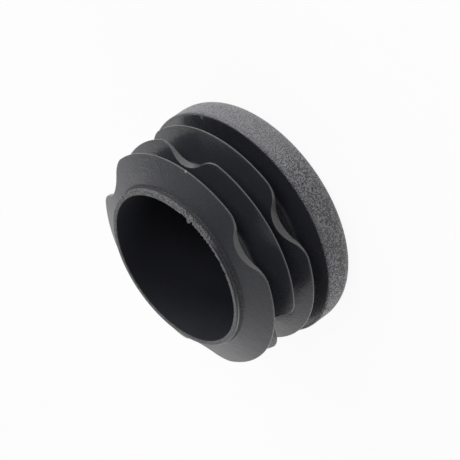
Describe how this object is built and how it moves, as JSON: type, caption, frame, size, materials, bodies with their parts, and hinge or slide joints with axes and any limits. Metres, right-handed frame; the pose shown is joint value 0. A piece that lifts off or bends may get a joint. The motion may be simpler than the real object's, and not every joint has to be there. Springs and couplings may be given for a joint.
{
  "type": "frame hole cap",
  "caption": "Round black moulded cap with a thick rounded head and a hollow stub whose thin notched fins grip the bore of a frame tube.",
  "frame": {"origin": "centre of the head's flat outer face", "axes": "+Z along the cap's axis, from the head's outer face to the mouth of the stub; -Y through a notch of the fin next to the head"},
  "size_m": [0.04, 0.04, 0.0206],
  "materials": {
    "cap_plastic": "black satin moulded plastic, with a fine leathery grain on the head"
  },
  "bodies": {
    "root": {"cap": "cap_plastic"}
  },
  "joints": []
}
